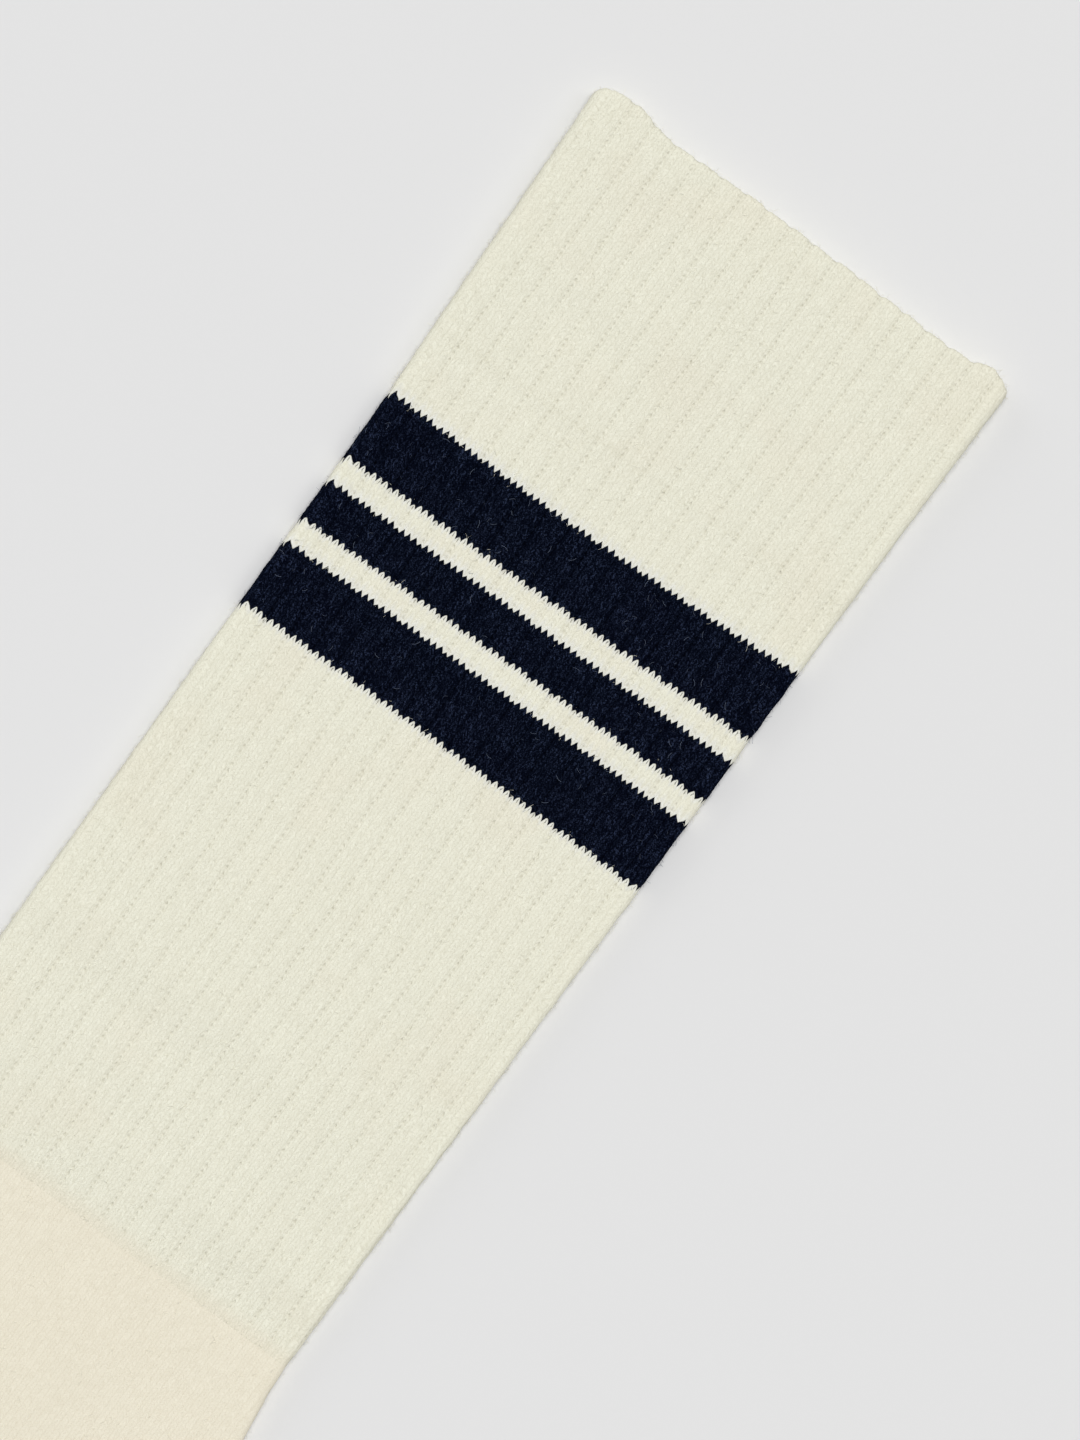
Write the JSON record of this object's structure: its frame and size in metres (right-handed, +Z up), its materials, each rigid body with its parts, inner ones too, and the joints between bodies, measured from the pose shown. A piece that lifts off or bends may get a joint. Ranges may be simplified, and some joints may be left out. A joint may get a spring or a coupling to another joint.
{
  "type": "ribbed crew sock laid flat",
  "caption": "Ribbed knit crew sock laid flat on its side, open at the cuff, with dark stripes round the leg, a plain heel pocket, foot and linked toe.",
  "frame": {"origin": "on the surface the sock lies on, under the middle of its bounding box", "axes": "+Y along the leg towards the cuff, +X towards the heel side, +Z up out of the upper layer; the foot turns away towards -X"},
  "size_m": [0.2194, 0.373, 0.005],
  "materials": {
    "cream_rib": "matte cream cotton, mock-rib knit",
    "navy_rib": "matte dark navy cotton, mock-rib knit",
    "plain_knit": "matte warm cream cotton, plain knit",
    "linking_thread": "matte cream linking stitches"
  },
  "bodies": {
    "root": {"cuff_welt": "cream_rib", "leg_upper": "cream_rib", "stripe_1": "navy_rib", "leg_between_1": "cream_rib", "stripe_2": "navy_rib", "leg_between_2": "cream_rib", "stripe_3": "navy_rib", "leg_lower": "cream_rib", "heel": "plain_knit", "foot": "plain_knit", "toe": "plain_knit", "toe_seam": "linking_thread"}
  },
  "joints": []
}
